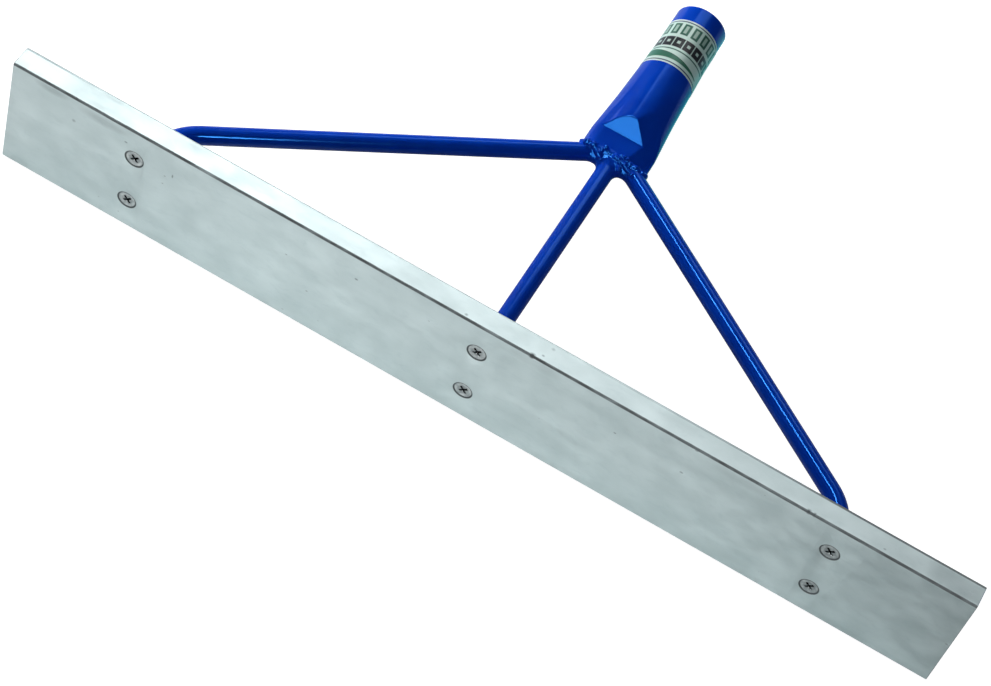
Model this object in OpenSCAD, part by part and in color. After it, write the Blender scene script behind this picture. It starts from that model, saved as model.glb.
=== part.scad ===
/* [Blade] */
// Length of the blade
blade_length = 800; // [700:10:1200]
// Height of the blade's face
blade_height = 110; // [100:1:150]
// Thickness of the solid bar
blade_thickness = 20; // [16:0.5:30]
// Rounding of the blade's long edges
blade_edge_r = 1.5; // [0.8:0.1:3]

/* [Screws] */
// Distance from the blade's end to the outer screws
screw_from_end = 108; // [60:1:140]
// Distance between the upper and the lower screw of a pair
screw_row_gap = 50; // [46:1:64]
// Thread diameter
screw_d = 8; // [6:0.5:10]
// Diameter of the countersunk head
head_d = 15; // [13:0.1:17]
// How far the head lies below the blade's face
head_sink = 0.5; // [0.2:0.1:1]
// Width across the cross recess in the head
recess_d = 8; // [6:0.1:9]
// Width of one arm of the cross recess
recess_arm = 1.8; // [1.2:0.1:2.2]
// Depth of the cross recess
recess_depth = 3; // [2:0.1:4]
// How far the screw's end stands out of its nut
screw_tail = 2; // [1:0.5:4]
// Room between the screw and the hole around it
screw_clearance = 0.4; // [0.2:0.1:0.8]

/* [Washers and nuts] */
// Outer diameter of a washer
washer_d = 16; // [14:0.5:18]
// Thickness of a washer
washer_t = 1.6; // [1:0.1:2.5]
// Width of a nut across its flats
nut_flats = 13; // [12:0.5:15]
// Height of the nut's hexagon
nut_hex_h = 6.2; // [5:0.1:7]
// Height of the round collar that grips the plastic ring
nut_collar_h = 1.8; // [1.5:0.1:2.5]
// Outer diameter of that collar
nut_collar_d = 12; // [11.5:0.1:12.9]
// Outer diameter of the plastic ring
ring_d = 10.4; // [9.8:0.1:10.8]
// Thickness of the plastic ring
ring_t = 1.5; // [1:0.1:1.7]

/* [Foot plates] */
// Width of a foot plate
plate_width = 36; // [30:1:50]
// Thickness of a foot plate
plate_t = 5; // [3:0.5:8]
// Distance from a screw to the plate's upper or lower edge
plate_margin = 15; // [12:0.5:18]
// Radius of the plate's corners
plate_corner_r = 6; // [2:0.5:10]

/* [Struts] */
// Diameter of the round bar
strut_d = 15; // [12:0.5:18]
// Angle between the middle strut and a side strut
strut_angle = 55.6; // [50:0.1:60]
// Radius of the bend near the foot plate, at the bar's middle
bend_r = 47; // [35:1:60]
// Straight end between the bend and the foot plate
stub_length = 4; // [3:0.5:10]
// How far the middle strut reaches past the meeting point, into the socket
middle_reach = 3; // [1:0.5:6]
// Room between a side strut's shaped end and the middle strut
cope_gap = 0.1; // [0.05:0.05:0.5]

/* [Socket] */
// Outer diameter of the socket's tube
socket_d = 44.5; // [42:0.1:50]
// Wall of the tube
socket_wall = 2.6; // [2:0.1:3.2]
// Length of the tube from its pressed end to its mouth
socket_length = 159; // [140:1:220]
// Angle of the socket above the plane of the struts
socket_tilt = 5; // [3:0.5:8]
// How far the struts' meeting point lies inside the pressed end
junction_depth = 9; // [8:0.5:12]
// Length of the flat pressed end
press_length = 18; // [15:0.5:24]
// Length of the ramp from the flat to the round tube
ramp_length = 13; // [10:0.5:20]
// Room above and below the middle strut inside the pressed end
press_gap = 0.9; // [0.8:0.1:1.5]
// Length over which the tube is still clearly widened, from the flat
flare_near = 41; // [30:1:60]
// Length over which the rest of the widening fades into the round tube
flare_far = 68; // [40:1:90]
// Length of the round seat for the handle, from the mouth
seat_length = 40; // [30:1:42]
// Step from the seat to the wider room behind it
seat_step = 0.3; // [0.2:0.05:0.5]
// Diameter of the fixing hole on the socket's underside
fixing_hole_d = 6; // [4:0.5:8]
// Distance of the fixing hole from the mouth
fixing_hole_from_mouth = 78; // [70:1:90]

/* [Band] */
// Width of the sticker round the socket
band_width = 49; // [30:1:60]
// Distance of the sticker from the socket's mouth
band_from_mouth = 17; // [8:1:30]
// Thickness of the sticker
band_t = 0.2; // [0.1:0.05:0.5]
// Thickness of the glue between the sticker and the tube
band_glue = 0.05; // [0.02:0.01:0.1]

/* [Welds] */
// Leg of the weld between a strut and its foot plate
foot_weld_leg = 4; // [2:0.5:6]
// Length of the weld along the strut at the socket
socket_weld_length = 4; // [2:0.5:6]

/* [Hidden] */

// Roundness of exact shapes, and of shapes inside a hull
$fn = 96;
hull_fn = 32;
// Overlap that keeps cuts clean
cut = 1;
// The bar gets a little thinner in its bend, and its straight ends close over the bend by a short lap
bend_thinning = 0.2;
bend_lap = 0.5;

// Columns and rows of screws; the struts meet the plates midway between the rows
screw_column_x = blade_length / 2 - screw_from_end;
columns = [-screw_column_x, 0, screw_column_x];
strut_z = blade_height / 2;
rows = [strut_z - screw_row_gap / 2, strut_z + screw_row_gap / 2];

// Faces behind each other, measured from the blade's front face
plate_y = blade_thickness + plate_t;
washer_y = plate_y + washer_t;
nut_end_y = washer_y + nut_hex_h + nut_collar_h;
screw_end_y = nut_end_y + screw_tail;
hole_d = screw_d + screw_clearance;

// Side strut: the corner of its bend, and the point where all three struts meet
corner_y = plate_y + stub_length + bend_r * tan(strut_angle / 2);
junction_y = corner_y + screw_column_x / tan(strut_angle);
side_length = screw_column_x / sin(strut_angle) - bend_r * tan(strut_angle / 2);

// Socket: heights and widths of the pressed end; its outline keeps the tube's girth
socket_r = socket_d / 2;
press_h = strut_d + 2 * press_gap + 2 * socket_wall;
press_w = press_h + (PI * socket_d - PI * press_h) / 2;
ramp_angle = atan((socket_r - press_h / 2) / ramp_length);
press_end = -junction_depth;
crease = press_end + press_length;
mouth = press_end + socket_length;
near_end = crease + flare_near;
far_end = near_end + flare_far;
// The widening leaves the round tube a little below its surface
flare_sink = 0.4;
near_r = socket_r * 0.66;
near_w = socket_d + (press_w - socket_d) * 0.46;

// The rake stands on the rear lower edge of the blade and on the socket's mouth
pivot_y = blade_thickness - blade_edge_r;
pivot_z = blade_edge_r;
rim_y = junction_y + mouth * cos(socket_tilt) + socket_r * sin(socket_tilt);
rim_z = strut_z + mouth * sin(socket_tilt) - socket_r * cos(socket_tilt);
rim_reach = norm([rim_y - pivot_y, rim_z - pivot_z]);
lean = atan2(rim_z - pivot_z, rim_y - pivot_y) + asin(blade_edge_r / rim_reach);

// Front and rear of the leaning rake, and the middle between them
front_y = pivot_y - (pivot_y - blade_edge_r) * cos(lean) - blade_edge_r;
mouth_y = junction_y + mouth * cos(socket_tilt) - pivot_y;
mouth_z = strut_z + mouth * sin(socket_tilt) - pivot_z;
rear_y = pivot_y + mouth_y * cos(lean) + mouth_z * sin(lean)
  + socket_r * abs(sin(lean - socket_tilt));
middle_y = (front_y + rear_y) / 2;

// Puts a piece, drawn with the blade upright, where it is when the rake stands
module stand() {
  translate([0, pivot_y - middle_y, pivot_z])
    rotate([-lean, 0, 0])
      translate([0, -pivot_y, -pivot_z])
        children();
}

// Draws along the socket's axis, with y = 0 where the struts meet
module on_socket() {
  translate([0, junction_y, strut_z])
    rotate([socket_tilt, 0, 0])
      children();
}

// A round bar along +Y
module bar_y(d, length) {
  rotate([-90, 0, 0])
    cylinder(d = d, h = length);
}

// Places a copy at each screw
module at_screws() {
  for (x = columns, z = rows)
    translate([x, 0, z])
      children();
}

// Blade

// Cross-section of the bar with rounded long edges
module blade_section() {
  r = blade_edge_r;
  union() {
    for (y = [r, blade_thickness - r], z = [r, blade_height - r])
      translate([y, z])
        circle(r = r);
    translate([r, 0])
      square([blade_thickness - 2 * r, blade_height]);
    translate([0, r])
      square([blade_thickness, blade_height - 2 * r]);
  }
}

// Hole and countersink for one screw; the cone is the head's own, carried on to the face
module screw_hole() {
  translate([0, -cut, 0])
    bar_y(hole_d, blade_thickness + 2 * cut);
  wide_d = head_d + 2 * head_sink;
  rotate([-90, 0, 0])
    translate([0, 0, -cut])
      cylinder(d1 = wide_d + 2 * cut, d2 = hole_d, h = (wide_d - hole_d) / 2 + cut);
}

module blade() {
  color("lightgray")
    stand()
      difference() {
        translate([-blade_length / 2, 0, 0])
          rotate([90, 0, 90])
            linear_extrude(height = blade_length)
              blade_section();
        at_screws()
          screw_hole();
      }
}

// Foot plates

plate_height = screw_row_gap + 2 * plate_margin;

module plate_outline() {
  r = plate_corner_r;
  union() {
    for (x = [-1, 1], z = [-1, 1])
      translate([x * (plate_width / 2 - r), z * (plate_height / 2 - r)])
        circle(r = r);
    square([plate_width - 2 * r, plate_height], center = true);
    square([plate_width, plate_height - 2 * r], center = true);
  }
}

module foot_plate(x) {
  color("mediumblue")
    stand()
      difference() {
        translate([x, plate_y, strut_z])
          rotate([90, 0, 0])
            linear_extrude(height = plate_t)
              plate_outline();
        for (z = rows)
          translate([x, blade_thickness - cut, z])
            bar_y(hole_d, plate_t + 2 * cut);
      }
}

// Struts

// Round bar of the middle strut, or with a gap the room that it takes
module middle_bar(gap = 0) {
  translate([0, plate_y, strut_z])
    bar_y(strut_d + 2 * gap, junction_y + middle_reach - plate_y);
}

// Everything behind the face of the socket's pressed end
module behind_press_face() {
  size = 6 * socket_d;
  on_socket()
    translate([-size / 2, press_end, -size / 2])
      cube([size, size, size]);
}

// Bent round bar of a side strut; side is -1 for left and 1 for right
module side_bar(side) {
  foot_y = plate_y + stub_length;
  // Straight end at the plate
  translate([side * screw_column_x, plate_y, strut_z])
    bar_y(strut_d, stub_length + bend_lap);
  // Bend in the plane of the struts
  translate([side * (screw_column_x - bend_r), foot_y, strut_z])
    rotate([0, 0, side > 0 ? 0 : 180 - strut_angle])
      rotate_extrude(angle = strut_angle)
        translate([bend_r, 0])
          circle(d = strut_d - bend_thinning);
  // Straight run to the meeting point
  translate([0, junction_y, strut_z])
    rotate([0, 0, side * strut_angle])
      rotate([90, 0, 0])
        cylinder(d = strut_d, h = side_length + bend_lap);
}

module side_strut(side) {
  color("mediumblue")
    stand()
      difference() {
        side_bar(side);
        behind_press_face();
        middle_bar(cope_gap);
      }
}

module middle_strut() {
  color("mediumblue")
    stand()
      middle_bar();
}

// Handle socket

// Thin slice across the socket, two discs wide
module slice(y, w, r, thick = 0.2) {
  for (x = [-1, 1])
    translate([x * (w / 2 - r), y, 0])
      rotate([-90, 0, 0])
        cylinder(r = r, h = thick, $fn = hull_fn);
}

// Outline of the pressed end
module press_outline(w, h) {
  union() {
    square([w - h, h], center = true);
    for (x = [-1, 1])
      translate([x * (w - h) / 2, 0])
        circle(d = h);
  }
}

// Side view of the socket after pressing: flat, ramp, then full height
module press_profile(inset) {
  flat_z = press_h / 2 - inset;
  flat_end = crease + inset * tan(ramp_angle / 2);
  top_z = socket_r + cut;
  top_y = flat_end + (top_z - flat_z) / tan(ramp_angle);
  half = [
    [press_end - cut, flat_z], [flat_end, flat_z], [top_y, top_z], [mouth + cut, top_z]
  ];
  other = [for (i = [len(half) - 1:-1:0]) [half[i][0], -half[i][1]]];
  rotate([90, 0, 90])
    linear_extrude(height = 2 * press_w, center = true)
      polygon(concat(half, other));
}

// The socket's outer form, or with an inset the room inside it, which a step widens behind the seat
module socket_form(inset, front, rear, step = 0) {
  w = press_w - 2 * inset;
  h = press_h - 2 * inset;
  r = socket_r - inset;
  intersection() {
    union() {
      translate([0, crease, 0])
        bar_y(2 * r, rear - crease);
      if (step > 0)
        translate([0, crease, 0])
          rotate([-90, 0, 0])
            cylinder(r1 = r + 2 * step, r2 = r + step, h = mouth - seat_length - crease);
      hull() {
        slice(crease, w, h / 2);
        slice(near_end, near_w - 2 * inset, near_r - inset);
      }
      hull() {
        slice(near_end, near_w - 2 * inset, near_r - inset);
        slice(far_end, 2 * (r - flare_sink), r - flare_sink);
      }
      translate([0, crease + 0.1, 0])
        rotate([90, 0, 0])
          linear_extrude(height = crease + 0.1 - front)
            press_outline(w, h);
    }
    press_profile(inset);
  }
}

module handle_socket() {
  color("blue")
    stand()
      on_socket()
        difference() {
          socket_form(0, press_end, mouth);
          socket_form(socket_wall, press_end - cut, mouth + cut, seat_step);
          translate([0, mouth - fixing_hole_from_mouth, -socket_d])
            cylinder(d = fixing_hole_d, h = socket_d);
        }
}

// Plain sticker that wraps the socket
module socket_band() {
  color("palegreen")
    stand()
      on_socket()
        intersection() {
          difference() {
            socket_form(-band_glue - band_t, press_end, mouth);
            socket_form(-band_glue, press_end - cut, mouth + cut);
          }
          translate([-socket_d, mouth - band_from_mouth - band_width, -socket_d])
            cube([2 * socket_d, band_width, 2 * socket_d]);
        }
}

// Welds

// Fillet ring between a strut and its foot plate
module foot_weld(x) {
  color("blue")
    stand()
      translate([x, plate_y, strut_z])
        rotate([-90, 0, 0])
          rotate_extrude()
            polygon([
              [strut_d / 2, 0], [strut_d / 2 + foot_weld_leg, 0], [strut_d / 2, foot_weld_leg]
            ]);
}

// Layer of weld metal on the face of the pressed end
module weld_layer() {
  on_socket()
    translate([0, press_end, 0])
      rotate([90, 0, 0])
        linear_extrude(height = socket_weld_length)
          press_outline(press_w, press_h);
}

weld_collar_d = press_h;

module middle_collar() {
  translate([0, plate_y, strut_z])
    bar_y(weld_collar_d, junction_y - plate_y);
}

module middle_socket_weld() {
  color("blue")
    stand()
      difference() {
        intersection() {
          weld_layer();
          middle_collar();
        }
        middle_bar();
        side_bar(-1);
        side_bar(1);
      }
}

module side_socket_weld(side) {
  color("blue")
    stand()
      difference() {
        weld_layer();
        middle_collar();
        side_bar(side);
        translate([side > 0 ? -2 * press_w : 0, 0, -press_h])
          cube([2 * press_w, 2 * junction_y, blade_height + press_h]);
      }
}

// Fasteners

// Cross recess, a little deeper at its middle
module cross_recess() {
  for (a = [45, 135])
    rotate([0, a, 0])
      translate([-recess_d / 2, -cut, -recess_arm / 2])
        cube([recess_d, recess_depth + cut, recess_arm]);
}

module blade_screws() {
  color("silver")
    stand()
      at_screws()
        translate([0, head_sink, 0])
          difference() {
            union() {
              rotate([-90, 0, 0])
                cylinder(d1 = head_d, d2 = screw_d, h = (head_d - screw_d) / 2);
              bar_y(screw_d, screw_end_y - head_sink);
            }
            cross_recess();
          }
}

module washers() {
  color("silver")
    stand()
      at_screws()
        translate([0, plate_y, 0])
          difference() {
            bar_y(washer_d, washer_t);
            translate([0, -cut, 0])
              bar_y(hole_d, washer_t + 2 * cut);
          }
}

module lock_nuts() {
  color("silver")
    stand()
      at_screws()
        translate([0, washer_y, 0])
          difference() {
            union() {
              rotate([-90, 30, 0])
                cylinder(d = nut_flats / cos(30), h = nut_hex_h, $fn = 6);
              bar_y(nut_collar_d, nut_hex_h + nut_collar_h);
            }
            translate([0, -cut, 0])
              bar_y(screw_d, nut_hex_h + nut_collar_h + 2 * cut);
            translate([0, nut_hex_h + nut_collar_h - ring_t, 0])
              bar_y(ring_d, ring_t + cut);
          }
}

module nut_rings() {
  color("white")
    stand()
      at_screws()
        translate([0, nut_end_y - ring_t, 0])
          difference() {
            bar_y(ring_d, ring_t);
            translate([0, -cut, 0])
              bar_y(screw_d, ring_t + 2 * cut);
          }
}

blade();
foot_plate(columns[0]);  // left_foot_plate
foot_plate(columns[1]);  // middle_foot_plate
foot_plate(columns[2]);  // right_foot_plate
side_strut(-1);  // left_strut
middle_strut();
side_strut(1);  // right_strut
handle_socket();
socket_band();
foot_weld(columns[0]);  // left_foot_weld
foot_weld(columns[1]);  // middle_foot_weld
foot_weld(columns[2]);  // right_foot_weld
side_socket_weld(-1);  // left_socket_weld
middle_socket_weld();
side_socket_weld(1);  // right_socket_weld
blade_screws();
washers();
lock_nuts();
nut_rings();
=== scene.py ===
"""Asphalt rake: a solid aluminium blade, three enamelled struts welded to a handle socket."""

import random
from functools import partial
from math import asin, atan, atan2, cos, hypot, pi, radians, sin, sqrt, tan

import bmesh
import bpy
import numpy as np
from mathutils import Matrix, Vector


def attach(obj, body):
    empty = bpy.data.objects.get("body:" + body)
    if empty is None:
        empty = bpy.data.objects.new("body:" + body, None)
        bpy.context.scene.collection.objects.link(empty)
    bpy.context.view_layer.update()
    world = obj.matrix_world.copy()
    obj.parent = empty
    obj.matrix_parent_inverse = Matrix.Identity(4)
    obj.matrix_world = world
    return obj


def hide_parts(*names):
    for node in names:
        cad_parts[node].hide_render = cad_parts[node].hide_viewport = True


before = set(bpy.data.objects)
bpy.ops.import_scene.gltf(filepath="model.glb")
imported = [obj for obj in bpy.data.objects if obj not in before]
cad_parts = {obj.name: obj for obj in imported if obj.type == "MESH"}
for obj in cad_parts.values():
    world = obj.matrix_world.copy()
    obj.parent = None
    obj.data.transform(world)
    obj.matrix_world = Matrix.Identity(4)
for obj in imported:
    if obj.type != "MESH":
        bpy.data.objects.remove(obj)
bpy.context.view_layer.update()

# Sizes in millimetres, the same as in the part's source
MM = 0.001
BLADE_LENGTH = 800.0
BLADE_HEIGHT = 110.0
BLADE_THICKNESS = 20.0
BLADE_EDGE_R = 1.5
SCREW_COLUMN_X = 292.0
SCREW_ROW_GAP = 50.0
SCREW_R = 4.0
HOLE_R = 4.2
HEAD_R = 7.5
HEAD_SINK = 0.5
RECESS_R = 4.0
RECESS_ARM = 1.8
RECESS_DEPTH = 3.0
WASHER_R = 8.0
WASHER_T = 1.6
NUT_FLATS = 13.0
NUT_HEX_H = 6.2
NUT_COLLAR_H = 1.8
NUT_COLLAR_R = 6.0
RING_R = 5.2
RING_T = 1.5
SCREW_TAIL = 2.0
PLATE_WIDTH = 36.0
PLATE_HEIGHT = 80.0
PLATE_T = 5.0
PLATE_CORNER_R = 6.0
STRUT_R = 7.5
STRUT_ANGLE = radians(55.6)
BEND_R = 47.0
STUB_LENGTH = 4.0
MIDDLE_REACH = 3.0
SOCKET_R = 22.25
SOCKET_WALL = 2.6
SOCKET_LENGTH = 159.0
SOCKET_TILT = radians(5)
JUNCTION_DEPTH = 9.0
PRESS_LENGTH = 18.0
RAMP_LENGTH = 13.0
PRESS_GAP = 0.9
FLARE_NEAR = 41.0
FLARE_FAR = 68.0
FLARE_SINK = 0.4
SEAT_LENGTH = 40.0
SEAT_STEP = 0.3
FIXING_HOLE_R = 3.0
FIXING_HOLE_FROM_MOUTH = 78.0
BAND_WIDTH = 49.0
BAND_FROM_MOUTH = 17.0
BAND_T = 0.2
BAND_GLUE = 0.05
FOOT_WELD_LEG = 4.0

STRUT_Z = BLADE_HEIGHT / 2
COLUMNS = (-SCREW_COLUMN_X, 0.0, SCREW_COLUMN_X)
ROWS = (STRUT_Z - SCREW_ROW_GAP / 2, STRUT_Z + SCREW_ROW_GAP / 2)
PLATE_Y = BLADE_THICKNESS + PLATE_T
WASHER_Y = PLATE_Y + WASHER_T
NUT_END_Y = WASHER_Y + NUT_HEX_H + NUT_COLLAR_H
SCREW_END_Y = NUT_END_Y + SCREW_TAIL
CORNER_Y = PLATE_Y + STUB_LENGTH + BEND_R * tan(STRUT_ANGLE / 2)
JUNCTION_Y = CORNER_Y + SCREW_COLUMN_X / tan(STRUT_ANGLE)

PRESS_H = 2 * (STRUT_R + PRESS_GAP + SOCKET_WALL)
PRESS_W = PRESS_H + pi * (2 * SOCKET_R - PRESS_H) / 2
RAMP_ANGLE = atan((SOCKET_R - PRESS_H / 2) / RAMP_LENGTH)
PRESS_END = -JUNCTION_DEPTH
CREASE = PRESS_END + PRESS_LENGTH
MOUTH = PRESS_END + SOCKET_LENGTH
NEAR_END = CREASE + FLARE_NEAR
FAR_END = NEAR_END + FLARE_FAR
NEAR_R = SOCKET_R * 0.66
NEAR_W = 2 * SOCKET_R + (PRESS_W - 2 * SOCKET_R) * 0.46

# The lean of the standing rake, on the blade's rear lower edge and the rim of the mouth
PIVOT_Y = BLADE_THICKNESS - BLADE_EDGE_R
PIVOT_Z = BLADE_EDGE_R
RIM_Y = JUNCTION_Y + MOUTH * cos(SOCKET_TILT) + SOCKET_R * sin(SOCKET_TILT)
RIM_Z = STRUT_Z + MOUTH * sin(SOCKET_TILT) - SOCKET_R * cos(SOCKET_TILT)
LEAN = atan2(RIM_Z - PIVOT_Z, RIM_Y - PIVOT_Y) + asin(
    BLADE_EDGE_R / hypot(RIM_Y - PIVOT_Y, RIM_Z - PIVOT_Z))
FRONT_Y = PIVOT_Y - (PIVOT_Y - BLADE_EDGE_R) * cos(LEAN) - BLADE_EDGE_R
MOUTH_Y = JUNCTION_Y + MOUTH * cos(SOCKET_TILT) - PIVOT_Y
MOUTH_Z = STRUT_Z + MOUTH * sin(SOCKET_TILT) - PIVOT_Z
REAR_Y = (PIVOT_Y + MOUTH_Y * cos(LEAN) + MOUTH_Z * sin(LEAN)
          + SOCKET_R * abs(sin(LEAN - SOCKET_TILT)))
MIDDLE_Y = (FRONT_Y + REAR_Y) / 2

FOOT = Vector((0, PIVOT_Y - MIDDLE_Y, PIVOT_Z))
PIVOT = Vector((0, PIVOT_Y, PIVOT_Z))
# Upright millimetres to the standing rake in metres, and the socket's own axis to upright millimetres
STAND = (Matrix.Scale(MM, 4) @ Matrix.Translation(FOOT) @ Matrix.Rotation(-LEAN, 4, "X")
         @ Matrix.Translation(-PIVOT))
ON_SOCKET = Matrix.Translation((0, JUNCTION_Y, STRUT_Z)) @ Matrix.Rotation(SOCKET_TILT, 4, "X")


# Materials

def srgb(code):
    """Linear colour of an sRGB hex value"""
    parts = [int(code[i:i + 2], 16) / 255 for i in (1, 3, 5)]
    return tuple(v / 12.92 if v <= 0.04045 else ((v + 0.055) / 1.055) ** 2.4 for v in parts) + (1.0,)


def plug(node, inputs):
    """Fills a node's live inputs, in order or by name, with values, hex colours, sockets or nodes"""
    live = [socket for socket in node.inputs if socket.enabled]
    for key, value in inputs.items() if isinstance(inputs, dict) else enumerate(inputs):
        socket = live[key] if isinstance(key, int) else next(s for s in live if s.name == key)
        if isinstance(value, bpy.types.Node):
            value = next(s for s in value.outputs if s.enabled)
        if isinstance(value, bpy.types.NodeSocket):
            node.id_data.links.new(value, socket)
        else:
            socket.default_value = srgb(value) if isinstance(value, str) else value
    return node


def add(tree, kind, inputs=(), **settings):
    """Adds a node; a shader node's kind goes without its prefix, with its mode after a colon"""
    kind, _, mode = kind.partition(":")
    made = tree.nodes.new(kind if "Node" in kind else "ShaderNode" + kind)
    if mode:
        settings["data_type" if kind == "Mix" else "operation"] = mode
    for name, value in settings.items():
        setattr(made, name, value)
    return plug(made, inputs)


def emptied(data):
    """Empties the node tree of a new material or world, and gives what adds nodes to it"""
    data.use_nodes = True
    data.node_tree.nodes.clear()
    return partial(add, data.node_tree)


def start_finish(name, **sockets):
    """An empty material with one shader; uniform values go straight onto its sockets"""
    finish = bpy.data.materials.new(name)
    node = emptied(finish)
    surface = node("BsdfPrincipled", {k.replace("_", " "): v for k, v in sockets.items()})
    node("OutputMaterial", {"Surface": surface})
    return finish, node, surface


def tinted(node, base, code, pattern, low, high, depth=1.0):
    """Lays a colour over a base as a pattern rises from low to high, to a depth of cover"""
    share = node("MapRange", (pattern, low, high, 0.0, depth))
    return node("Mix:RGBA", (share, base, code))


def upright(node):
    """Object coordinates turned back to the upright rake, in millimetres"""
    shift = PIVOT - Matrix.Rotation(LEAN, 3, "X") @ FOOT
    place = node("TexCoord").outputs["Object"]
    return node("Mapping", (place, shift, (LEAN, 0, 0), (1 / MM,) * 3))


def from_screws(node, x, z):
    """Distance from the nearest screw's axis, in millimetres"""
    def away(value, place):
        apart = node("Math:SUBTRACT", (value, place))
        return node("Math:ABSOLUTE", (apart,))

    aside = node("Math:ABSOLUTE", (x,))
    across = node("Math:MINIMUM", (aside, away(aside, SCREW_COLUMN_X)))
    up = away(away(z, STRUT_Z), SCREW_ROW_GAP / 2)
    both = node("CombineXYZ", {"X": across, "Y": up})
    return node("VectorMath:LENGTH", (both,))


def mill_aluminium():
    """Extruded aluminium bar, mill finish: a silky grey with die lines along its length, cloudy
    patches and smears where hot asphalt and oil dulled it, specks and stains, a dark line along
    the front top edge, and painted shade in the countersinks and along the rear top edge."""
    finish, node, surface = start_finish(
        "mill_aluminium", Metallic=1.0, Anisotropic=0.55, Anisotropic_Rotation=0.25)
    place = upright(node)
    x, y, z = node("SeparateXYZ", (place,)).outputs

    def drawn(scale, *inputs, kind="TexNoise"):
        """A pattern drawn out along the bar: a scale for each direction, then its own inputs"""
        at = node("Mapping", {"Vector": place, "Scale": scale})
        return node(kind, (at, 1.0, *inputs))

    # Die lines run the whole length, about 1 mm apart, and broad bands of them, 10 to 20 mm
    lines = drawn((0.004, 0.9, 0.9), 3.0, 0.6)
    bands = drawn((0.0015, 0.07, 0.07), 2.0)
    # Cloudy stains, 10 to 30 mm, a little longer along the bar, and smears a few millimetres wide
    clouds = drawn((0.032, 0.05, 0.05), 5.0, 0.55)
    smears = drawn((0.08, 0.16, 0.16), 4.0, 0.65, 2.0, 0.8)
    tint = "#B9C8C9"
    for pattern, low, high, depth, code in (
            (clouds, 0.36, 0.64, 1.0, "#C1CFD0"), (smears, 0.52, 0.72, 0.24, "#A2B6B9"),
            (bands, 0.40, 0.62, 0.09, "#D2DEDE")):
        tint = tinted(node, tint, code, pattern, low, high, depth)

    # Dark specks of bitumen, 0.5 to 1.5 mm
    specks = drawn((0.04, 0.06, 0.06), kind="TexVoronoi")
    kept = node("SeparateColor", (specks.outputs["Color"],)).outputs["Red"]
    kept = node("Math:MULTIPLY", (kept, 0.05))
    apart = node("Math:SUBTRACT", (specks, kept))
    tar_and_painted_shade = node("MapRange", (apart, 0.0, 0.03, 0.5, 0.0))

    # The marks that the photograph shows, each with its place, size and depth: a tick, a few spots,
    # darker patches under the top edge, and dark marks in the edge's knocks
    for at, size, depth in (
            ((-259.6, 0, 84.9), (0.9, 4, 2.6), 0.55), ((-345, 0, 85), (2.0, 4, 2.0), 0.4),
            ((-366, 0, 105), (16, 4, 5), 0.28), ((-322, 0, 102), (22, 4, 6), 0.26),
            ((-17.5, 3.6, 110), (1.8, 1.6, 4), 0.5), ((49.1, 14.6, 110), (2.0, 1.6, 4), 0.45),
            ((45, 0, 104), (26, 4, 7), 0.18), ((215, 0, 103), (30, 4, 6), 0.18),
            ((38.6, 0.8, 109.2), (3.6, 3, 3), 0.95), ((264.6, 0.8, 109.4), (2.8, 2.6, 2.6), 0.9),
            ((269.3, 0.8, 109.4), (2, 2.2, 2.2), 0.9)):
        apart = node("VectorMath:SUBTRACT", (place, at))
        apart = node("VectorMath:MULTIPLY", (apart, [1 / v for v in size]))
        apart = node("VectorMath:LENGTH", (apart,))
        stain = node("MapRange", (apart, 0.35, 1.0, depth, 0.0))
        tar_and_painted_shade = node("Math:MAXIMUM", (tar_and_painted_shade, stain))
    # Painted shade in the countersinks round the screw heads
    painted_countersink_shade = node("MapRange", (from_screws(node, x, z), 8.1, 8.4, 0.9, 0.0))
    tar_and_painted_shade = node("Math:MAXIMUM", (tar_and_painted_shade, painted_countersink_shade))

    # A dark line along the front top edge, varying in strength every 10 to 40 mm, and painted shade along
    # the rear top edge's rounding as a thinner dark line, mostly towards the right end
    front_line_strength = node("MapRange", (drawn((0.045, 0.2, 0.2), 4.0, 0.7), 0.3, 0.6, 0.68, 0.95))
    at_right = node("MapRange", (x, 60.0, 290.0, 0.1, 0.85))
    at_left = node("MapRange", (x, -375.0, -300.0, 0.5, 0.1))
    rear = node("Math:MAXIMUM", (at_right, at_left))
    for slant, edge, low, high, strength in (
            ("SUBTRACT", BLADE_HEIGHT, 1.9, 1.3, front_line_strength),
            ("ADD", BLADE_HEIGHT + BLADE_THICKNESS, 2.9, 2.3, rear)):
        line = node("Math:" + slant, (z, y))
        line = node("MapRange", (line, edge - low, edge - high))
        line = node("Math:MULTIPLY", (line, strength))
        tar_and_painted_shade = node("Math:MAXIMUM", (tar_and_painted_shade, line))

    # One dark colour for the tar and for the painted shade in the countersinks and on the rear edge
    colour = node("Mix:RGBA", (tar_and_painted_shade, tint, "#343F43"))
    bare = node("Math:SUBTRACT", (1.0, tar_and_painted_shade))
    rough = node("MapRange", (lines, 0.0, 1.0, 0.29, 0.39))
    cloudy = node("MapRange", (clouds, 0.35, 0.65, -0.03, 0.035))
    rough = node("Math:ADD", (rough, cloudy))
    rough = node("Math:MULTIPLY_ADD", (tar_and_painted_shade, 0.6, rough))

    # Saw marks on the two cut ends, 1.2 mm apart
    saw = node("TexWave", {
        "Vector": node("Mapping", {"Vector": place, "Rotation": (0.35, 0, 0)}),
        "Scale": 0.26, "Distortion": 1.2, "Detail": 2.0}, bands_direction="Z")
    at_end = node("Math:ABSOLUTE", (x,))
    at_end = node("MapRange", (at_end, BLADE_LENGTH / 2 - 0.3, BLADE_LENGTH / 2 - 0.1))
    relief = node("Math:MULTIPLY", (saw, at_end))
    for pattern, height in ((lines, 0.6), (smears, 0.2)):
        relief = node("Math:MULTIPLY_ADD", (pattern, height, relief))
    bump = node("Bump", {"Height": relief, "Strength": 0.05, "Distance": 0.1 * MM})
    plug(surface, {"Base Color": colour, "Metallic": bare, "Roughness": rough, "Normal": bump,
                         "Tangent": node("CombineXYZ", {"X": 1.0})})
    return finish


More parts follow.
